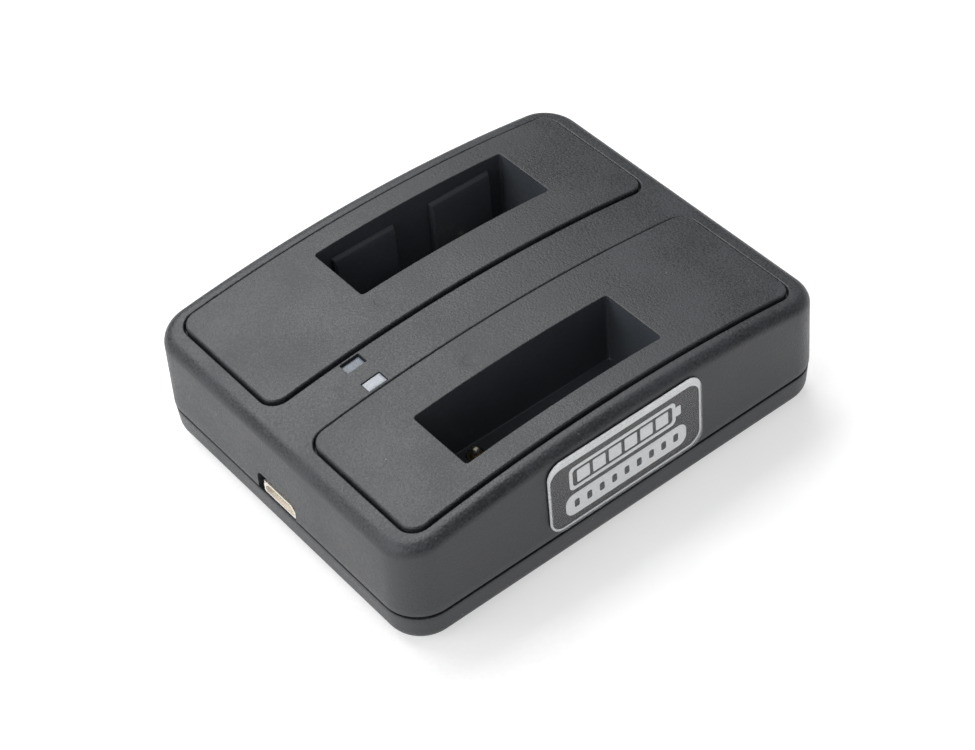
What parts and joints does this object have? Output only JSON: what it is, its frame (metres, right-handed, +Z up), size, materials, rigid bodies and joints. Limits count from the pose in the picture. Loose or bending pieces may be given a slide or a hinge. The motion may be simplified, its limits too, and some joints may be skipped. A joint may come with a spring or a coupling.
{
  "type": "two-bay battery pack charging cradle",
  "caption": "Low black desktop cradle with an arched top and upright slots that charge battery packs through sprung contacts, fed by a micro-USB socket in one end.",
  "frame": {"origin": "on the table under the middle of the case, at the bottom faces of the rubber feet", "axes": "+X along the long side away from the socket end, -Y towards the side with the label, +Z up"},
  "size_m": [0.078, 0.0633, 0.0232],
  "materials": {
    "case_black": "fine spark-eroded moulding texture",
    "insert_black": "fine spark-eroded moulding texture",
    "foot_rubber": "matt moulded rubber",
    "board_green": "glass epoxy board under green solder mask",
    "socket_steel": "nickel-plated steel sheet",
    "socket_ivory": "moulded ivory plastic",
    "contact_gold": "gold-plated brass",
    "spring_steel": "bright drawn wire",
    "led_body": "white package with a clear lens",
    "light_pipe": "milky clear moulded plastic",
    "chip_black": "moulded epoxy with tinned leads",
    "ferrite": "matt sintered ferrite",
    "capacitor_can": "bright drawn can",
    "capacitor_tan": "fired ceramic",
    "resistor_black": "glazed film on ceramic",
    "solder_tin": "bright solder",
    "screw_steel": "zinc-plated steel",
    "label_film": "printed film",
    "label_silver": "silver ink",
    "label_clear": "clear domed resin"
  },
  "bodies": {
    "housing": {"bottom_cover": "case_black", "top_cover": "case_black", "bay_insert_front": "insert_black", "bay_insert_rear": "insert_black", "circuit_board": "board_green", "usb_socket_shell": "socket_steel", "usb_socket_tongue": "socket_ivory", "usb_socket_contacts": "contact_gold", "contact_barrels_front": "contact_gold", "contact_barrels_rear": "contact_gold", "contact_spring_front_1": "spring_steel", "contact_spring_front_2": "spring_steel", "contact_spring_front_3": "spring_steel", "contact_spring_rear_1": "spring_steel", "contact_spring_rear_2": "spring_steel", "contact_spring_rear_3": "spring_steel", "led_front": "led_body", "led_rear": "led_body", "light_pipe_front": "light_pipe", "light_pipe_rear": "light_pipe", "charge_chip_front": "chip_black", "charge_chip_rear": "chip_black", "inductor_front": "ferrite", "inductor_rear": "ferrite", "bulk_capacitor": "capacitor_can", "ceramic_capacitors": "capacitor_tan", "resistors": "resistor_black", "solder_joints": "solder_tin", "case_screws": "screw_steel", "board_screws": "screw_steel", "insert_screws": "screw_steel", "rubber_feet": "foot_rubber", "label_base": "label_film", "label_print": "label_silver", "label_dome": "label_clear"},
    "contact_front_1": {"contact_plunger_front_1": "contact_gold"},
    "contact_front_2": {"contact_plunger_front_2": "contact_gold"},
    "contact_front_3": {"contact_plunger_front_3": "contact_gold"},
    "contact_rear_1": {"contact_plunger_rear_1": "contact_gold"},
    "contact_rear_2": {"contact_plunger_rear_2": "contact_gold"},
    "contact_rear_3": {"contact_plunger_rear_3": "contact_gold"}
  },
  "joints": [
    {"name": "contact_front_1_press", "type": "slide", "parent": "housing", "child": "contact_front_1", "axis": [0, 0, -1], "range_m": [0, 0.0012], "stiffness_N_per_m": 250, "springref_m": -0.0006, "deforming": ["contact_spring_front_1"]},
    {"name": "contact_front_2_press", "type": "slide", "parent": "housing", "child": "contact_front_2", "axis": [0, 0, -1], "range_m": [0, 0.0012], "stiffness_N_per_m": 250, "springref_m": -0.0006, "deforming": ["contact_spring_front_2"]},
    {"name": "contact_front_3_press", "type": "slide", "parent": "housing", "child": "contact_front_3", "axis": [0, 0, -1], "range_m": [0, 0.0012], "stiffness_N_per_m": 250, "springref_m": -0.0006, "deforming": ["contact_spring_front_3"]},
    {"name": "contact_rear_1_press", "type": "slide", "parent": "housing", "child": "contact_rear_1", "axis": [0, 0, -1], "range_m": [0, 0.0012], "stiffness_N_per_m": 250, "springref_m": -0.0006, "deforming": ["contact_spring_rear_1"]},
    {"name": "contact_rear_2_press", "type": "slide", "parent": "housing", "child": "contact_rear_2", "axis": [0, 0, -1], "range_m": [0, 0.0012], "stiffness_N_per_m": 250, "springref_m": -0.0006, "deforming": ["contact_spring_rear_2"]},
    {"name": "contact_rear_3_press", "type": "slide", "parent": "housing", "child": "contact_rear_3", "axis": [0, 0, -1], "range_m": [0, 0.0012], "stiffness_N_per_m": 250, "springref_m": -0.0006, "deforming": ["contact_spring_rear_3"]}
  ]
}
